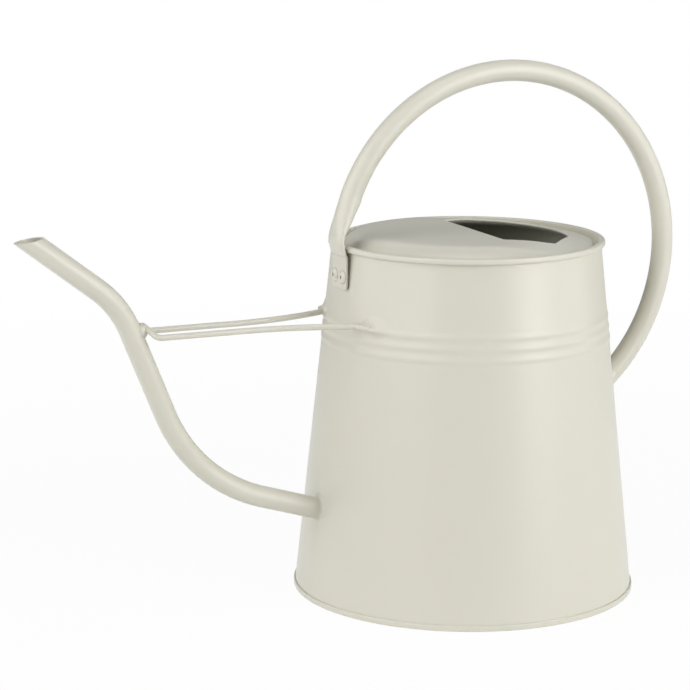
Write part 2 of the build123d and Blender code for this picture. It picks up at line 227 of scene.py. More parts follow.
def unevenFinish(name, look):
    # one noise moves the tone and the gloss together
    material = bpy.data.materials.new(name)
    material.use_nodes = True
    tree = material.node_tree
    shader = tree.nodes["Principled BSDF"]
    place = addNode(tree, "ShaderNodeTexCoord")
    drift = addNode(tree, "ShaderNodeTexNoise")
    drift.inputs["Scale"].default_value = look["driftScale"]
    drift.inputs["Detail"].default_value = look["driftDetail"]
    tones = addNode(tree, "ShaderNodeMix", data_type="RGBA")
    tones.inputs["A"].default_value, tones.inputs["B"].default_value = look["tones"]
    gloss = addNode(tree, "ShaderNodeMapRange")
    gloss.inputs["To Min"].default_value, gloss.inputs["To Max"].default_value = look["roughness"]
    tree.links.new(place.outputs["Object"], drift.inputs["Vector"])
    tree.links.new(drift.outputs["Fac"], tones.inputs["Factor"])
    tree.links.new(tones.outputs["Result"], shader.inputs["Base Color"])
    tree.links.new(drift.outputs["Fac"], gloss.inputs["Value"])
    tree.links.new(gloss.outputs["Result"], shader.inputs["Roughness"])
    return material, shader, place


def powderCoat():
    # satin sprayed paint: slight orange peel over a cloudy tone and uneven gloss
    material, shader, place = unevenFinish("powderCoat", coatLook)
    tree = material.node_tree
    peel = addNode(tree, "ShaderNodeTexNoise")
    peel.inputs["Scale"].default_value = coatLook["peelScale"]
    peel.inputs["Detail"].default_value = coatLook["peelDetail"]
    bump = addNode(tree, "ShaderNodeBump")
    bump.inputs["Strength"].default_value = coatLook["peelStrength"]
    bump.inputs["Distance"].default_value = coatLook["peelDepth"]
    tree.links.new(place.outputs["Object"], peel.inputs["Vector"])
    tree.links.new(peel.outputs["Fac"], bump.inputs["Height"])
    tree.links.new(bump.outputs["Normal"], shader.inputs["Normal"])
    return material


def stemSteel():
    # broken rivet stems: drawn steel, dulled and a little uneven
    material, shader, _ = unevenFinish("stemSteel", steelLook)
    shader.inputs["Metallic"].default_value = 1
    return material


coat = powderCoat()
steel = stemSteel()

# Body wall
wall = {
    "bottom": 0.0007,
    "top": 0.2114,
    "ribs": (0.15455, 0.1611, 0.16765),
    "ribRise": 0.0005,
    "ribWidth": 0.0062,
    "ribSteps": 14,
    "steps": 256,
}

spout = {
    "radius": 0.00635,
    "sheet": 0.001,
    "rootHeight": 0.056,
    "rootAngle": math.radians(17.1),
    "rootRun": 0.0374,
    "lowerBend": 0.095,
    "riseAngle": math.radians(67.7),
    "riseRun": 0.0547,
    "upperBend": 0.0605,
    "tipAngle": math.radians(37.6),
    "tipRun": 0.0497,
    "mouthTilt": math.radians(8.9),
    "inset": 0.0046,                 # reach of the tube inside the wall
    "lip": 0.0003,                   # rounding of the mouth's edges
    "lipEase": 0.00009,              # how far the middle of that rounding is drawn in
    "drillLength": 0.04,
    "bendSteps": 22,
    "sides": 64,
}


def ribRise(z):
    rise = 0
    for middle in wall["ribs"]:
        reach = min(abs(z - middle) / (wall["ribWidth"] / 2), 1)
        rise += wall["ribRise"] * (0.5 + 0.5 * math.cos(math.pi * reach))
    return rise


def spoutRoot():
    # where the spout's middle line passes the wall, and its direction there
    place = Vector((-wallRadius(spout["rootHeight"]), 0, spout["rootHeight"]))
    along = Vector((-math.cos(spout["rootAngle"]), 0, math.sin(spout["rootAngle"])))
    return place, along


def drillSpoutHole(piece):
    place, along = spoutRoot()
    freeHands()
    bpy.ops.mesh.primitive_cylinder_add(
        vertices=spout["sides"], radius=spout["radius"] + can["gap"], depth=spout["drillLength"])
    drill = bpy.context.object
    drill.matrix_world = Matrix.Translation(place) @ along.to_track_quat("Z", "Y").to_matrix().to_4x4()
    bpy.context.view_layer.update()
    hole = piece.modifiers.new("spoutHole", "BOOLEAN")
    hole.object = drill
    hole.operation = "DIFFERENCE"
    bpy.context.view_layer.objects.active = piece
    bpy.ops.object.modifier_apply(modifier=hole.name)
    bpy.data.objects.remove(drill)


def makeWall():
    low = wall["ribs"][0] - wall["ribWidth"] / 2
    high = wall["ribs"][-1] + wall["ribWidth"] / 2
    count = wall["ribSteps"] * len(wall["ribs"])
    heights = [wall["bottom"]]
    heights += [low + (high - low) * i / count for i in range(count + 1)]
    heights.append(wall["top"])
    piece = spinOutline("bodyWall", [(wallRadius(z) + ribRise(z), z) for z in heights], wall["steps"])
    thicken(piece, can["sheet"])
    drillSpoutHole(piece)
    smoothOver(piece, degrees=40)
    finishPiece(piece, coat, "powder_coat", "body_shell")


makeWall()
print("wall spun")

# Base with the seam folded up round the wall
base = {
    "seamHeight": 0.0037,
    "seamFold": 0.0008,
    "seamBlend": 0.0007,
    "seamTopBlend": 0.00064,
    "lipDrop": 0.0003,               # the fold's inner edge lies this far below its top
    "recess": 0.006,
    "panelBlend": 0.003,
    "steps": 256,
}


def makeBase():
    sheet, gap = can["sheet"], can["gap"]
    seamRadius = wallRadius(base["seamHeight"] / 2) + gap + base["seamFold"]
    linerFoot = wallRadius(0) - sheet - gap
    linerTop = wallRadius(base["recess"]) - sheet - gap
    outline = roundCorners([
        (0, base["recess"], 0),
        (linerTop - sheet, base["recess"], base["panelBlend"]),
        (linerFoot - sheet, 0, sheet),
        (seamRadius, 0, base["seamBlend"]),
        (seamRadius, base["seamHeight"], base["seamTopBlend"]),
        (wallRadius(base["seamHeight"]) + gap, base["seamHeight"] - base["lipDrop"], 0),
        (wallRadius(sheet) + gap, sheet, 0),
        (linerFoot, sheet, 0),
        (linerTop, base["recess"] + sheet, 0),
        (0, base["recess"] + sheet, 0),
    ])
    piece = spinOutline("basePlate", outline, base["steps"])
    smoothOver(piece, degrees=40)
    finishPiece(piece, coat, "powder_coat", "base_plate")


makeBase()
print("base spun")

# Lid: bead, gutter, a flat cover over the front half and the filling mouth in the lower rear half
lid = {
    "beadHeight": 0.0036,
    "beadFold": 0.0022,
    "beadBlend": 0.0014,
    "gutterDepth": 0.0045,
    "gutterWidth": 0.0026,
    "gutterBlend": 0.0007,
    "stepWidth": 0.0016,
    "stepBlend": 0.0018,
    "domeInset": 0.004,              # the dome's own rings start this far inside the step
    "crownTop": 0.2164,
    "crownRadius": 0.0455,
    "crownBlend": 0.100,
    "slope": math.radians(11.5),
    "coverFlat": 0.042,
    "coverRound": 5.5,               # higher keeps the cover flat for longer
    "coverFoot": (0.0740, 0.2095),
    "coverStep": 0.001,
    "foldFrom": -0.010,              # the cover gives way to the rear half between these x
    "foldTo": 0.030,
    "dip": 0.0016,                   # rim pressed down a little beside the front tab
    "dipAt": math.radians(128),
    "dipSpread": math.radians(26),
    "dipRun": 0.006,
    "mouthMiddle": 0.033,
    "mouthFront": 0.005,
    "mouthFrontHalf": (0.0376, 0.0415),      # towards the camera, away from it
    "mouthWidest": 0.034,
    "mouthHalf": (0.0475, 0.0461),
    "mouthRearHalf": 0.0235,
    "lean": 0.02,                    # slope across the rear half, which sits a little askew
    "leanRadius": 0.0707,            # inside this radius
    "leanFade": 4,                   # higher keeps the lean up closer to that radius
    "mouthMargin": 0.0130,           # dome left behind the mouth
    "mouthSharpness": 90,
    "hemRoll": 0.0008,               # the edge round the mouth is folded under
    "hemTurn": math.radians(140),
    "hemLength": 0.0022,
    "hemSteps": 10,
    "domeRows": 20,
    "sides": 384,
}


def liner(z):
    return wallRadius(z) - 2 * can["sheet"] - can["gap"]


def rearHeight(radius):
    reach = lid["crownBlend"] * math.tan(lid["slope"] / 2)
    flat = lid["crownRadius"] - reach
    if radius <= flat:
        return lid["crownTop"]
    if radius <= lid["crownRadius"] + reach * math.cos(lid["slope"]):
        return lid["crownTop"] - lid["crownBlend"] + math.sqrt(lid["crownBlend"] ** 2 - (radius - flat) ** 2)
    return lid["crownTop"] - (radius - lid["crownRadius"]) * math.tan(lid["slope"])


def coverHeight(radius):
    footRadius, footHeight = lid["coverFoot"]
    reach = max(radius - lid["coverFlat"], 0) / (footRadius - lid["coverFlat"])
    return lid["crownTop"] - (lid["crownTop"] - footHeight) * reach ** lid["coverRound"]


def foldShare(x):
    return softStep((x - lid["foldFrom"]) / (lid["foldTo"] - lid["foldFrom"]))


def domeHeight(point):
    share = foldShare(point.x)
    lean = lid["lean"] * point.y * max(1 - (point.length / lid["leanRadius"]) ** lid["leanFade"], 0)
    return coverHeight(point.length) * (1 - share) + (rearHeight(point.length) + lean) * share


def mouthReach(ray, rearRadius):
    # distance from the mouth's middle to its outline, corners eased by a soft minimum
    middle = Vector((lid["mouthMiddle"], 0))
    rearX = math.sqrt(rearRadius ** 2 - lid["mouthRearHalf"] ** 2)
    side = 1 if ray.y > 0 else 0
    front = Vector((lid["mouthFront"], lid["mouthFrontHalf"][side]))
    widest = Vector((lid["mouthWidest"], lid["mouthHalf"][side]))
    rear = Vector((rearX, lid["mouthRearHalf"]))
    upper = Vector((ray.x, abs(ray.y)))
    along = middle.dot(upper)
    distances = [math.sqrt(along ** 2 + rearRadius ** 2 - middle.length_squared) - along]
    edges = [(front, Vector((-1, 0)))]
    for start, end in ((front, widest), (widest, rear)):
        edges.append((start, Vector((start.y - end.y, end.x - start.x)).normalized()))
    for point, outward in edges:
        facing = upper.dot(outward)
        if facing > 0.001:           # the ray never meets the other sides
            distances.append((point - middle).dot(outward) / facing)
    total = sum(distance ** -lid["mouthSharpness"] for distance in distances)
    return total ** (-1 / lid["mouthSharpness"])


def lidSection(stepFoot, stepTop, domeEdge, edgeHeight):
    beadBottom = can["height"] - lid["beadHeight"]
    beadRadius = wallRadius(can["height"] - lid["beadHeight"] / 2) + can["gap"] + lid["beadFold"]
    gutterFloor = can["height"] - lid["gutterDepth"]
    return roundCorners([
        (wallRadius(beadBottom) + can["gap"], beadBottom, 0),
        (beadRadius, beadBottom, lid["beadBlend"]),
        (beadRadius, can["height"], lid["beadBlend"]),
        (liner(can["height"]), can["height"], lid["gutterBlend"]),
        (liner(gutterFloor), gutterFloor, lid["gutterBlend"]),
        (stepFoot, gutterFloor, lid["gutterBlend"]),
        (*stepTop, lid["stepBlend"]),
        (domeEdge, edgeHeight, 0),
    ])


def makeLid():
    sides = fullTurn(lid["sides"])
    gutterInner = liner(can["height"] - lid["gutterDepth"]) - lid["gutterWidth"]
    stepRadius = gutterInner - lid["stepWidth"]
    domeEdge = stepRadius - lid["domeInset"]
    coverFoot = lid["coverFoot"]
    front = lidSection(coverFoot[0] + lid["coverStep"], coverFoot, domeEdge, coverHeight(domeEdge))
    rear = lidSection(gutterInner, (stepRadius, rearHeight(stepRadius)), domeEdge, rearHeight(domeEdge))
    rings = []
    for atFront, atRear in zip(front, rear):
        ring = []
        for angle in sides:
            r, z = atFront.lerp(atRear, foldShare(domeEdge * math.cos(angle)))
            dip = lid["dip"] * math.exp(-((angle - lid["dipAt"]) / lid["dipSpread"]) ** 2)
            dip *= min((r - domeEdge) / lid["dipRun"], 1)
            ring.append((r * math.cos(angle), r * math.sin(angle), z - dip))
        rings.append(ring)

    # from the dome's edge the rings close in on the mouth's outline
    middle = Vector((lid["mouthMiddle"], 0))
    edges = [Vector((domeEdge * math.cos(angle), domeEdge * math.sin(angle))) for angle in sides]
    rays = [(edge - middle).normalized() for edge in edges]
    rims = [middle + ray * mouthReach(ray, stepRadius - lid["mouthMargin"]) for ray in rays]
    for row in range(1, lid["domeRows"] + 1):
        ring = []
        for edge, rim in zip(edges, rims):
            point = edge.lerp(rim, row / lid["domeRows"])
            ring.append((point.x, point.y, domeHeight(point)))
        rings.append(ring)

    # the last rings roll the edge under into a short hem
    for k in range(1, lid["hemSteps"] + 2):
        angle = lid["hemTurn"] * min(k / lid["hemSteps"], 1)
        inward = lid["hemRoll"] * math.sin(angle)
        down = lid["hemRoll"] * (1 - math.cos(angle))
        if k > lid["hemSteps"]:
            inward += lid["hemLength"] * math.cos(angle)
            down += lid["hemLength"] * math.sin(angle)
        ring = []
        for rim, ray in zip(rims, rays):
            point = rim - ray * inward
            ring.append((point.x, point.y, domeHeight(rim) - down))
        rings.append(ring)
    piece = skinRings("lidPlate", rings)
    thicken(piece, can["sheet"])
    smoothOver(piece, degrees=50)
    finishPiece(piece, coat, "powder_coat", "lid")


makeLid()
print("lid pressed")


# Spout
def bendPoints(start, heading, radius, turn, steps):
    # points and headings along an arc in the side plane
    stations = []
    side = math.copysign(1, turn)
    middle = start + radius * side * Vector((-math.sin(heading), math.cos(heading)))
    for k in range(steps + 1):
        angle = heading + turn * k / steps
        place = middle - radius * side * Vector((-math.sin(angle), math.cos(angle)))
        stations.append((place, angle))
    return stations


def spoutLine():
    # (reach, height) and heading along the middle of the tube
    heading = Vector((math.cos(spout["rootAngle"]), math.sin(spout["rootAngle"])))
    root = Vector((wallRadius(spout["rootHeight"]), spout["rootHeight"]))
    line = [(root - heading * spout["inset"], spout["rootAngle"])]
    bend = root + heading * spout["rootRun"]
    line += bendPoints(bend, spout["rootAngle"], spout["lowerBend"],
                       spout["riseAngle"] - spout["rootAngle"], spout["bendSteps"])
    heading = Vector((math.cos(spout["riseAngle"]), math.sin(spout["riseAngle"])))
    bend = line[-1][0] + heading * spout["riseRun"]
    line += bendPoints(bend, spout["riseAngle"], spout["upperBend"],
                       spout["tipAngle"] - spout["riseAngle"], spout["bendSteps"])
    heading = Vector((math.cos(spout["tipAngle"]), math.sin(spout["tipAngle"])))
    line.append((line[-1][0] + heading * spout["tipRun"], spout["tipAngle"]))
    return line


def spoutRing(place, heading, radius, slide=0.0, cut=False):
    # a cut ring lies in the plane of the mouth
    along = Vector((-math.cos(heading), 0, math.sin(heading)))
    across = Vector((math.sin(heading), 0, math.cos(heading)))
    middle = Vector((-place.x, 0, place.y))
    level = Vector((-math.sin(spout["mouthTilt"]), 0, math.cos(spout["mouthTilt"])))
    ring = []
    for angle in fullTurn(spout["sides"]):
        arm = radius * (math.cos(angle) * across + math.sin(angle) * Vector((0, 1, 0)))
        reach = -arm.dot(level) / along.dot(level) if cut else 0
        ring.append(middle + arm + along * (reach + slide))
    return ring


def makeSpout():
    line = spoutLine()
    outer, inner = spout["radius"], spout["radius"] - spout["sheet"]
    lip, ease = spout["lip"], spout["lipEase"]
    mouth = [
        (outer, -lip), (outer - ease, -ease), (outer - lip, 0),
        (inner + lip, 0), (inner + ease, -ease), (inner, -lip),
    ]
    rings = [spoutRing(place, heading, outer) for place, heading in line[:-1]]
    rings += [spoutRing(*line[-1], radius, slide, True) for radius, slide in mouth]
    rings += [spoutRing(place, heading, inner) for place, heading in line[-2::-1]]
    rings.append(rings[0])
    piece = skinRings("spoutTube", rings)
    smoothOver(piece, degrees=45)
    finishPiece(piece, coat, "powder_coat", "spout_tube")


makeSpout()
print("spout bent")

# Weld fillet round the spout's root
rootWeld = {
    "leg": 0.0027,
    "hollow": 0.12,                  # lower draws the fillet further into the corner
    "unevenness": 0.16,
    "waves": ((3, 0.6, 0.5), (8, 0, 0.3), (17, 1, 0.2)),     # count round the spout, start, share
    "tubeDepth": 0.0004,             # hidden edges inside the tube and the wall
    "wallDepth": 0.0003,
    "wallReach": 0.0002,
    "rows": 9,
    "sides": 128,
}


def meetWall(start, along, lift=0.0, tries=12):
    # follows a line to the outside of the wall, then goes on by the lift
    depth = 0.0
    for _ in range(tries):
        point = start + along * depth
        depth += (math.hypot(point.x, point.y) - wallRadius(point.z)) / along.x
    return start + along * (depth + lift)


def makeRootWeld():
    place, along = spoutRoot()
    across = Vector((along.z, 0, -along.x))
    rings = [[] for _ in range(rootWeld["rows"] + 3)]
    for angle in fullTurn(rootWeld["sides"]):
        arm = math.cos(angle) * across + math.sin(angle) * Vector((0, 1, 0))
        wave = sum(share * math.sin(count * angle + start) for count, start, share in rootWeld["waves"])
        leg = rootWeld["leg"] * (1 + rootWeld["unevenness"] * wave)
        tubeSide = place + arm * spout["radius"]
        wallSide = place + arm * (spout["radius"] + leg)
        onTube = meetWall(tubeSide, along, leg)
        corner = meetWall(tubeSide, along, leg * rootWeld["hollow"])
        onWall = meetWall(wallSide, along)
        inTube = onTube - arm * rootWeld["tubeDepth"] - along * leg / 2
        inWall = meetWall(wallSide + arm * rootWeld["wallReach"], along, -rootWeld["wallDepth"])
        section = [inTube]
        for row in range(rootWeld["rows"]):
            t = row / (rootWeld["rows"] - 1)
            section.append((1 - t) ** 2 * onTube + 2 * t * (1 - t) * corner + t ** 2 * onWall)
        for ring, point in zip(rings, section + [inWall, inTube]):
            ring.append(point)
    piece = skinRings("spoutWeld", rings)
    smoothOver(piece, degrees=60)
    finishPiece(piece, coat, "powder_coat", "spout_weld")


makeRootWeld()
print("spout welded in")

# Handle: a bow of tube, both ends squeezed flat
handle = {
    "bow": 0.1093,
    "middle": Vector((0.02617, 0.2012)),     # x and z of the bow's centre
    "frontAngle": 157.97,
    "rearAngle": -44.85,
    "lead": 0.004,
    "frontNeck": 0.015,
    "frontThroat": 0.0262,
    "frontShift": -0.0013,                   # front tab sits a little off the middle
    "shiftStretches": 3,                     # stretches over which it gets there
    "rearNeck": 0.0095,
    "rearThroat": 0.0063,
    "rearLift": 0.0012,
    "tube": (0.0127, 0.0127, 2),             # thickness, width and squareness, 2 is round
    "neck": (0.010, 0.0148, 2.1),
    "throat": (0.0059, 0.0176, 2.4),
    "crease": (0.0034, 0.0194, 3),
    "creaseRun": 0.0014,
    "tab": (0.0016, 0.0196, 7),
    "frontTab": 0.0207,                      # lengths from crease to end
    "rearTab": 0.0189,
    "tabCorner": 0.002,
    "frontFace": -0.08233,                   # inner face of the front tab
    "frontFoot": 0.1880,
    "rearFoot": 0.0818,
    "bowSteps": 88,
    "endSteps": 7,
    "cornerSteps": 5,
    "sides": 64,
}


def bowAngle(degrees, run):
    # angle reached after a run along the bow
    return degrees + math.degrees(run / handle["bow"])


def bowSection(degrees, thickness, width, square):
    # outer and inner point of a section that keeps the outer side of the bow
    out = Vector((math.cos(math.radians(degrees)), math.sin(math.radians(degrees))))
    outer = handle["middle"] + out * (handle["bow"] + handle["tube"][0] / 2)
    return outer, outer - out * thickness, Vector((width, square))


def flatSection(inner, out, thickness, width, square):
    return inner + out * thickness, inner, Vector((width, square))


def handleRing(outer, inner, width, square, shift=0.0):
    middle = (outer + inner) / 2
    arm = (outer - inner) / 2
    ring = []
    for angle in fullTurn(handle["sides"]):
        up, side = math.cos(angle), math.sin(angle)
        up = math.copysign(abs(up) ** (2 / square), up)
        side = math.copysign(abs(side) ** (2 / square), side)
        place = middle + arm * up
        ring.append(Vector((place.x, side * width / 2 + shift, place.y)))
    return ring


def tabSections(seat, length):
    # from just under the crease down to the rounded end of a tab
    foot, up, out = seat
    thickness, width, square = handle["tab"]
    corner = handle["tabCorner"]
    rows = [(length - handle["creaseRun"], 0), (length / 2, 0)]
    for k in range(handle["cornerSteps"] + 1):
        angle = math.pi / 2 * k / handle["cornerSteps"]
        rows.append((corner * (1 - math.sin(angle)), corner * (1 - math.cos(angle))))
    return [flatSection(foot + up * height, out, thickness, width - 2 * cut, square) for height, cut in rows]


def squeezedEnd(degrees, turn, neckRun, throat, seat, length):
    # sections from the round tube to the end of its tab
    foot, up, out = seat
    tab = tabSections(seat, length)
    keys = [
        bowSection(degrees, *handle["tube"]),
        bowSection(bowAngle(degrees, turn * handle["lead"]), *handle["tube"]),
        bowSection(bowAngle(degrees, turn * neckRun), *handle["neck"]),
        throat,
        flatSection(foot + up * length, out, *handle["crease"]),
        tab[0],
    ]
    eased = [easeThrough([part.to_3d() for part in parts], handle["endSteps"]) for parts in zip(*keys)]
    return [(outer.to_2d(), inner.to_2d(), size) for outer, inner, size in zip(*eased)] + tab[1:]


def frontSeat():
    # foot of the front tab's inner face, with the directions up and out from it
    return Vector((handle["frontFace"], handle["frontFoot"])), Vector((0, 1)), Vector((-1, 0))


def rearSeat():
    # the same for the rear tab, which leans with the wall
    up = Vector((-math.sin(can["taper"]), math.cos(can["taper"])))
    out = Vector((math.cos(can["taper"]), math.sin(can["taper"])))
    foot = Vector((wallRadius(handle["rearFoot"]), handle["rearFoot"])) + out * can["gap"]
    return foot, up, out


def frontEnd():
    throat = bowSection(bowAngle(handle["frontAngle"], handle["frontThroat"]), *handle["throat"])
    return squeezedEnd(handle["frontAngle"], 1, handle["frontNeck"], throat, frontSeat(), handle["frontTab"])


def rearEnd():
    seat = rearSeat()
    foot, up, out = seat
    inner = foot + up * (handle["rearTab"] + handle["rearThroat"]) + out * handle["rearLift"]
    throat = flatSection(inner, out, *handle["throat"])
    return squeezedEnd(handle["rearAngle"], -1, handle["rearNeck"], throat, seat, handle["rearTab"])


def makeHandle():
    rings = []
    for i, (outer, inner, size) in enumerate(frontEnd()):
        shift = handle["frontShift"] * softStep(i / (handle["shiftStretches"] * handle["endSteps"]))
        rings.append(handleRing(outer, inner, size[0], size[1], shift))
    rings.reverse()
    bow = []
    for k in range(1, handle["bowSteps"]):
        angle = handle["frontAngle"] + (handle["rearAngle"] - handle["frontAngle"]) * k / handle["bowSteps"]
        bow.append(bowSection(angle, *handle["tube"]))
    rings += [handleRing(outer, inner, size[0], size[1]) for outer, inner, size in bow + rearEnd()]
    piece = skinRings("handleTube", rings, True, True)
    smoothOver(piece, degrees=45)
    finishPiece(piece, coat, "powder_coat", "handle_tube")


makeHandle()
print("handle bent and squeezed")

# Blind rivets with their broken stems, modelled once for each tab and copied
rivet = {
    "head": 0.0042,
    "headHeight": 0.0015,
    "crown": 0.002604,               # radius where the head's dome rounds off
    "crownBlend": 0.0012,
    "brim": 0.00042,                 # height of the head's edge
    "brimBlend": 0.0004,
    "underside": 0.00005,            # play between head and tab
    "bore": 0.0011,
    "boreDepth": 0.0014,
    "boreBlend": 0.00025,
    "shank": 0.002,
    "grip": 0.0031,
    "bulb": 0.0029,
    "bulbLength": 0.005,
    "bulbBlend": (0.0006, 0.0012),   # by the wall, at the far end
    "pitch": 0.0108,
    "frontEdge": 0.0072,             # rivets above the end of each tab
    "rearEdge": 0.0054,
    "cornerSteps": 5,
    "steps": 48,
}

brokenStem = {
    "radius": 0.00104,
    "tip": 0.0006,                   # heights from the tab's face
    "cone": (0.000572, 0.0004),      # radius and height of the ragged cone's bend
    "coneBlend": 0.0002,
    "edge": 0.0002,
    "edgeBlend": 0.0001,
    "bottom": -0.0013,
    "cornerSteps": 4,
    "steps": 48,
}


def rivetOutline():
    bulbTop, bulbEnd = -rivet["grip"], -rivet["grip"] - rivet["bulbLength"]
    return roundCorners([
        (0, -rivet["boreDepth"], 0),
        (rivet["bore"], -rivet["boreDepth"], 0),
        (rivet["bore"], rivet["headHeight"], rivet["boreBlend"]),
        (rivet["crown"], rivet["headHeight"], rivet["crownBlend"]),
        (rivet["head"], rivet["brim"], rivet["brimBlend"]),
        (rivet["head"], rivet["underside"], 0),
        (rivet["shank"], rivet["underside"], 0),
        (rivet["shank"], bulbTop, 0),
        (rivet["bulb"], bulbTop, rivet["bulbBlend"][0]),
        (rivet["bulb"], bulbEnd, rivet["bulbBlend"][1]),
        (0, bulbEnd, 0),
    ], rivet["cornerSteps"])


def stemOutline():
    # snapped off a little below the top of the head
    return roundCorners([
        (0, brokenStem["tip"], 0),
        (*brokenStem["cone"], brokenStem["coneBlend"]),
        (brokenStem["radius"], brokenStem["edge"], brokenStem["edgeBlend"]),
        (brokenStem["radius"], brokenStem["bottom"], 0),
        (0, brokenStem["bottom"], 0),
    ], brokenStem["cornerSteps"])


def setPair(first, second, place, turn, shift):
    # a copy with its own mesh, then both moved to their places
    pair = [first, first.copy()]
    pair[1].data = first.data.copy()
    nameIt(pair[1], second)
    bpy.context.collection.objects.link(pair[1])
    for side, piece in zip((-1, 1), pair):
        piece.location = (place.x, side * rivet["pitch"] / 2 + shift, place.y)
        piece.rotation_euler = (0, turn, 0)
        freeHands()
        piece.select_set(True)
        bpy.context.view_layer.objects.active = piece
        bpy.ops.object.transform_apply(location=True, rotation=True, scale=True)
    return pair


def makeRivets(name, place, turn, shift, rivets, stems):
    head = spinOutline(name + "RivetA", rivetOutline(), rivet["steps"])
    smoothOver(head, degrees=45)
    for piece in setPair(head, name + "RivetB", place, turn, shift):
        finishPiece(piece, coat, "powder_coat", rivets)
    stem = spinOutline(name + "StemA", stemOutline(), brokenStem["steps"])
    smoothOver(stem, degrees=45)
    for piece in setPair(stem, name + "StemB", place, turn, shift):
        finishPiece(piece, steel, "stem_steel", stems)


def makeAllRivets():
    thickness = handle["tab"][0]
    foot, up, out = frontSeat()
    place = foot + up * rivet["frontEdge"] + out * thickness
    makeRivets("front", place, -math.pi / 2, handle["frontShift"], "front_rivets", "front_rivet_mandrels")
    foot, up, out = rearSeat()
    place = foot + up * rivet["rearEdge"] + out * thickness
    makeRivets("rear", place, math.pi / 2 - can["taper"], 0, "rear_rivets", "rear_rivet_mandrels")


makeAllRivets()
print("rivets set")

# Wire stay between spout and wall
stay = {
    "radius": 0.00175,
    "height": 0.1691,
    "half": 0.01125,                 # from the middle to each leg
    "sweep": 0.150,
    "footBend": 0.0045,
    "footAngle": math.radians(18.5),
    "footTurn": math.radians(5.5),
    "shoulder": 0.0046,
    "shoulderBend": 0.004,
    "noseBend": 0.003,
    "spoutMargin": 0.001,            # nose below the spout's upper bend
    "footSteps": 6,
    "footBendSteps": 8,
    "sweepSteps": 14,
    "shoulderSteps": 6,
    "noseSteps": 12,
    "sides": 32,
}


def spoutSeat():
    # middle of the spout where the stay's nose rests, and the directions along and behind it
    line = spoutLine()
    end = line[2 + spout["bendSteps"]][0]        # start of the upper bend
    along = Vector((math.cos(spout["riseAngle"]), math.sin(spout["riseAngle"])))
    behind = Vector((-along.y, along.x))
    return end - along * stay["spoutMargin"], along, behind


def arcRun(middle, radius, first, last, steps):
    angles = [first + (last - first) * k / steps for k in range(steps + 1)]
    return [middle + radius * Vector((math.cos(angle), math.sin(angle))) for angle in angles]


def stayLine():
    # one leg from the wall to the shoulder, seen from above as (reach, offset)
    clearance = (stay["radius"] + can["gap"]) / math.cos(can["taper"])
    ring = wallRadius(stay["height"]) + wall["ribRise"] + clearance
    foot, footBend, sweep = stay["footAngle"], stay["footBend"], stay["sweep"]
    swing = stay["half"] + sweep - (footBend + ring) * math.sin(foot)
    level = 1.5 * math.pi            # where the sweep runs parallel to the can's middle plane
    leaving = level - math.acos(swing / (sweep - footBend))
    onRing = arcRun(Vector((0, 0)), ring, foot + stay["footTurn"], foot, stay["footSteps"])
    bendMiddle = onRing[-1] + footBend * Vector((math.cos(foot), math.sin(foot)))
    bend = arcRun(bendMiddle, footBend, foot + math.pi, leaving, stay["footBendSteps"])
    sweepMiddle = bend[-1] - sweep * Vector((math.cos(leaving), math.sin(leaving)))
    return onRing + bend[1:] + arcRun(sweepMiddle, sweep, leaving, level, stay["sweepSteps"])[1:]


def noseCorner(nose, shoulder):
    # sharp corner whose rounded nose just reaches the spout
    reach = (nose - shoulder).length
    spread = stay["noseBend"] / stay["half"]
    short = reach - stay["noseBend"]
    root = math.sqrt(short ** 2 - (1 - spread ** 2) * (short ** 2 - stay["noseBend"] ** 2))
    return shoulder + (nose - shoulder).normalized() * (short + root) / (1 - spread ** 2)


def stayPoints():
    seat, _, behind = spoutSeat()
    nose = seat + behind * (spout["radius"] + stay["radius"] + can["gap"])
    shoulder = Vector((nose.x - stay["shoulder"], stay["height"]))
    corner = noseCorner(nose, shoulder)
    tip = Vector((-corner.x, 0, corner.y))
    farShoulder = Vector((-shoulder.x, stay["half"], stay["height"]))
    nearShoulder = Vector((-shoulder.x, -stay["half"], stay["height"]))
    farLeg = [Vector((-p.x, p.y, stay["height"])) for p in stayLine()]
    nearLeg = [Vector((p.x, -p.y, p.z)) for p in reversed(farLeg)]
    line = roundedTurn(farLeg[-1], farShoulder, tip, stay["shoulderBend"], stay["shoulderSteps"])
    line += roundedTurn(farShoulder, tip, nearShoulder, stay["noseBend"], stay["noseSteps"])
    line += roundedTurn(tip, nearShoulder, nearLeg[0], stay["shoulderBend"], stay["shoulderSteps"])
    return farLeg + line + nearLeg


def wireRings(line, radius, sides):
    # rings carried along a line without twist
    rings = []
    across = Vector((0, 0, 1))
    for i, place in enumerate(line):
        along = (line[min(i + 1, len(line) - 1)] - line[max(i - 1, 0)]).normalized()
        across = (across - along * across.dot(along)).normalized()
        third = along.cross(across)
        ring = []
        for angle in fullTurn(sides):
            ring.append(place + radius * (math.cos(angle) * across + math.sin(angle) * third))
        rings.append(ring)
    return rings


def makeStay():
    piece = skinRings("stayWire", wireRings(stayPoints(), stay["radius"], stay["sides"]), True, True)
    smoothOver(piece, degrees=60)
    finishPiece(piece, coat, "powder_coat", "stay_wire")


makeStay()
print("stay bent")

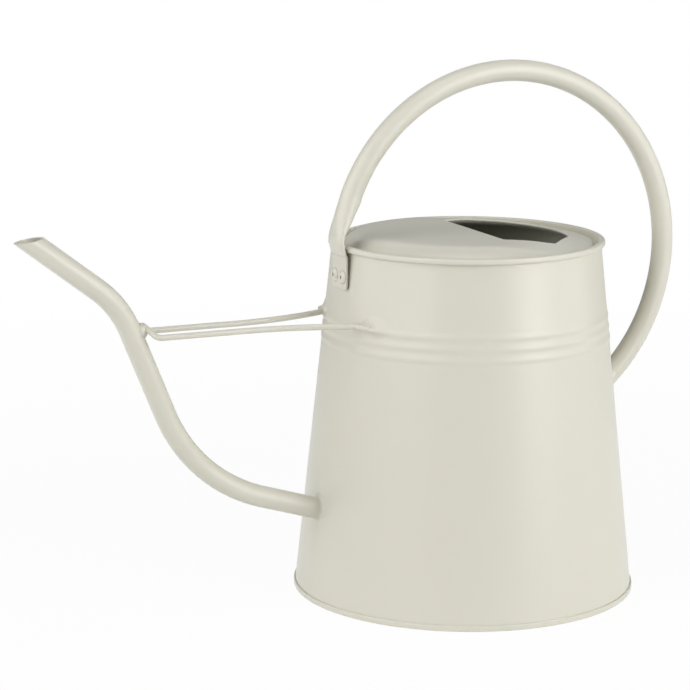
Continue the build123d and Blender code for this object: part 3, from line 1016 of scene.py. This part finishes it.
# Weld pads over the stay's feet
footWeld = {
    "leftAngle": math.radians(25),   # from the spout to the middle of each pad
    "rightAngle": math.radians(22.5),
    "halfLength": 0.0108,            # round the wall
    "halfWidth": 0.0068,             # up and down it
    "lift": 0.0007,                  # middle of the pad above the wire
    "rise": 0.0013,
    "fullness": 1.5,                 # lower stands up steeper from the wall
    "ridge": 0.0026,
    "ridgeWidth": 0.0022,
    "ridgeFrom": -0.002,             # the ridge sinks away between these
    "ridgeTo": 0.0088,
    "ridgeHold": 6,                  # higher carries the ridge closer to the rim
    "ripple": 0.00004,
    "rippleRun": (1500, 700),        # radians per metre round the wall and up it
    "bury": 0.0001,                  # underside of the pad below the wall's face
    "core": 0.05,                    # the underside closes at this share of the outline
    "rows": 18,
    "sides": 96,
}


def padHeight(u, v, share):
    # low pad that runs out into the wall, the buried wire showing as a ridge
    dome = footWeld["rise"] * (1 - share ** 2) ** footWeld["fullness"]
    sink = (u - footWeld["ridgeFrom"]) / (footWeld["ridgeTo"] - footWeld["ridgeFrom"])
    sink = min(max(sink, 0), 1)
    across = (v + footWeld["lift"] * (1 + sink)) / footWeld["ridgeWidth"]
    fade = (1 - softStep(sink)) * (1 - share ** footWeld["ridgeHold"])
    ridge = footWeld["ridge"] * math.exp(-across ** 2) * fade
    runRound, runUp = footWeld["rippleRun"]
    ripple = footWeld["ripple"] * math.sin(u * runRound + v * runUp) * (1 - share ** 2)
    return dome + ridge + ripple


def weldRings(weld, seatPoint):
    # closed pad: a small core underneath, the rim, then rows that rise to the crown
    rings = []
    for row in range(-1, weld["rows"] + 1):
        share = 1 - row / weld["rows"] if row >= 0 else weld["core"]
        ring = []
        for angle in fullTurn(weld["sides"]):
            u = weld["halfLength"] * share * math.cos(angle)
            v = weld["halfWidth"] * share * math.sin(angle)
            ring.append(seatPoint(u, v, share, row > 0))
        rings.append(ring)
    return rings


def makeFootWeld(name, node, side, middleAngle):
    def onWall(u, v, share, raised):
        z = stay["height"] + footWeld["lift"] + v
        proud = padHeight(u, v, share) if raised else -footWeld["bury"]
        turn = middleAngle + u / wallRadius(z)
        reach = wallRadius(z) + ribRise(z) + proud
        return Vector((-reach * math.cos(turn), side * reach * math.sin(turn), z))

    piece = skinRings(name, weldRings(footWeld, onWall), True)
    smoothOver(piece, degrees=80)
    finishPiece(piece, coat, "powder_coat", node)


makeFootWeld("stayFootWeldLeft", "stay_foot_weld_left", -1, footWeld["leftAngle"])
makeFootWeld("stayFootWeldRight", "stay_foot_weld_right", 1, footWeld["rightAngle"])

# Weld bead that runs out from the stay's nose along the spout
neckWeld = {
    "halfLength": 0.0050,            # along the spout
    "halfWidth": 0.0054,             # round the spout
    "drop": 0.0019,                  # middle of the bead below the nose
    "rise": 0.0038,
    "fullness": 0.95,                # lower stands up steeper from the spout
    "ripple": 0.00005,
    "rippleRun": 3200,               # radians per metre along the spout
    "bury": 0.0002,
    "core": 0.05,
    "rows": 18,
    "sides": 72,
}


def beadHeight(u, share):
    dome = neckWeld["rise"] * (1 - share ** 2) ** neckWeld["fullness"]
    return dome + neckWeld["ripple"] * math.sin(u * neckWeld["rippleRun"]) * (1 - share ** 2)


def makeNeckWeld():
    seat, along, behind = spoutSeat()

    def onSpout(u, v, share, raised):
        turn = v / spout["radius"]
        reach = spout["radius"] + (beadHeight(u, share) if raised else -neckWeld["bury"])
        place = seat + along * (u - neckWeld["drop"]) + behind * reach * math.cos(turn)
        return Vector((-place.x, reach * math.sin(turn), place.y))

    piece = skinRings("stayNeckWeld", weldRings(neckWeld, onSpout), True)
    smoothOver(piece, degrees=80)
    finishPiece(piece, coat, "powder_coat", "stay_neck_weld")


makeNeckWeld()
print("stay welded on")

# Stage: a pale floor that keeps the shadow, soft lamps, white surround
stage = {
    "floorSize": 60,
    "floorTone": (0.9, 0.9, 0.9, 1),
    "floorSpan": (0.35, 1.0),        # floor by the can, floor further out
    "direct": (0.95, 1.0),           # share of plain white there for the camera
    "mirrored": (0.75, 0.2),         # and in the coat's gloss
    "mirroredAbove": 0.28,           # the surround in the coat's gloss
    "ambient": 0.02,
}

# Camera at the photographed angle
view = {
    "place": (-0.7004, -1.3628, 0.4588),
    "heading": math.radians(24.506),
    "pitch": math.radians(11.5285),
    "roll": 0.0033,
    "lens": 135.863,
    "sensor": 36,
}

# Lamps stand round the can: degrees to the camera's right, degrees above the floor
lampStand = {
    "middle": Vector((0, 0, 0.14)),
    "distance": 1.8,
}

lamps = {
    "leftSoftbox": {"bearing": -63, "rise": 19, "size": (2.65, 1.7), "power": 28.6},
    "rightSoftbox": {"bearing": 54, "rise": 18, "size": (0.8, 1.6), "power": 10.8},
    "rightFill": {"bearing": 72, "rise": 18, "size": (2.9, 1.6), "power": 23},
    "leftUpper": {"bearing": -60, "rise": 50, "size": (1.0, 0.7), "power": 3.4},
    "frontUpper": {"bearing": 0, "rise": 50, "size": (1.0, 0.7), "power": 0.8},
    "overhead": {"bearing": 0, "rise": 80, "size": (1.0, 1.0), "power": 5.6},
    "rear": {"bearing": 180, "rise": 33, "size": (1.2, 0.7), "power": 1.8},
}


def setOrLink(tree, source, socket):
    if isinstance(source, bpy.types.NodeSocket):
        tree.links.new(source, socket)
    else:
        socket.default_value = source


def whiteShare(tree, direct, mirrored):
    # share of plain white: direct for the camera and clear surfaces, mirrored for a gloss,
    # none for the light that falls on the can
    path = addNode(tree, "ShaderNodeLightPath")
    seen = addNode(tree, "ShaderNodeMath", operation="MAXIMUM")
    tree.links.new(path.outputs["Is Camera Ray"], seen.inputs[0])
    tree.links.new(path.outputs["Is Transmission Ray"], seen.inputs[1])
    plain = addNode(tree, "ShaderNodeMath", operation="MULTIPLY")
    tree.links.new(seen.outputs[0], plain.inputs[0])
    setOrLink(tree, direct, plain.inputs[1])
    gloss = addNode(tree, "ShaderNodeMath", operation="MULTIPLY")
    tree.links.new(path.outputs["Is Glossy Ray"], gloss.inputs[0])
    setOrLink(tree, mirrored, gloss.inputs[1])
    share = addNode(tree, "ShaderNodeMath", operation="MAXIMUM")
    tree.links.new(plain.outputs[0], share.inputs[0])
    tree.links.new(gloss.outputs[0], share.inputs[1])
    return share.outputs[0]


def makeFloor():
    freeHands()
    bpy.ops.mesh.primitive_plane_add(size=stage["floorSize"])
    floor = bpy.context.object
    nameIt(floor, "floor")
    material = bpy.data.materials.new("paleFloor")
    material.use_nodes = True
    tree = material.node_tree
    shader = tree.nodes["Principled BSDF"]
    shader.inputs["Base Color"].default_value = stage["floorTone"]
    shader.inputs["Roughness"].default_value = 1
    shader.inputs["Specular IOR Level"].default_value = 0
    place = addNode(tree, "ShaderNodeTexCoord")
    distance = addNode(tree, "ShaderNodeVectorMath", operation="LENGTH")
    tree.links.new(place.outputs["Object"], distance.inputs[0])
    shares = []
    for key in ("direct", "mirrored"):
        share = addNode(tree, "ShaderNodeMapRange")
        share.inputs["From Min"].default_value, share.inputs["From Max"].default_value = stage["floorSpan"]
        share.inputs["To Min"].default_value, share.inputs["To Max"].default_value = stage[key]
        tree.links.new(distance.outputs["Value"], share.inputs["Value"])
        shares.append(share.outputs["Result"])
    white = addNode(tree, "ShaderNodeEmission")
    mix = addNode(tree, "ShaderNodeMixShader")
    tree.links.new(whiteShare(tree, *shares), mix.inputs[0])
    tree.links.new(shader.outputs[0], mix.inputs[1])
    tree.links.new(white.outputs[0], mix.inputs[2])
    tree.links.new(mix.outputs[0], tree.nodes["Material Output"].inputs[0])
    floor.data.materials.append(material)


def makeSurround():
    world = bpy.data.worlds.new("studio")
    bpy.context.scene.world = world
    world.use_nodes = True
    tree = world.node_tree
    background = tree.nodes["Background"]
    background.inputs["Color"].default_value = (1, 1, 1, 1)
    level = addNode(tree, "ShaderNodeMath", operation="MAXIMUM")
    level.inputs[1].default_value = stage["ambient"]
    tree.links.new(whiteShare(tree, stage["direct"][1], stage["mirroredAbove"]), level.inputs[0])
    tree.links.new(level.outputs[0], background.inputs["Strength"])


def addLamp(name):
    lamp = lamps[name]
    bearing = math.radians(lamp["bearing"]) - view["heading"] - math.pi / 2
    rise = math.radians(lamp["rise"])
    away = Vector((math.cos(rise) * math.cos(bearing), math.cos(rise) * math.sin(bearing), math.sin(rise)))
    freeHands()
    bpy.ops.object.light_add(type="AREA", location=lampStand["middle"] + away * lampStand["distance"])
    light = bpy.context.object
    nameIt(light, name)
    light.data.shape = "RECTANGLE"
    light.data.size, light.data.size_y = lamp["size"]
    light.data.energy = lamp["power"]
    light.rotation_euler = away.to_track_quat("Z", "Y").to_euler()


def makeCamera():
    freeHands()
    bpy.ops.object.camera_add(location=view["place"])
    camera = bpy.context.object
    nameIt(camera, "camera")
    turn = Matrix.Rotation(-view["heading"], 3, "Z") @ Matrix.Rotation(math.pi / 2 - view["pitch"], 3, "X")
    camera.rotation_euler = (turn @ Matrix.Rotation(view["roll"], 3, "Z")).to_euler()
    camera.data.lens = view["lens"]
    camera.data.sensor_width = view["sensor"]
    bpy.context.scene.camera = camera


makeFloor()
makeSurround()
for name in lamps:
    addLamp(name)
makeCamera()
bpy.context.scene.view_settings.view_transform = "Standard"
print("stage, lamps and camera set")
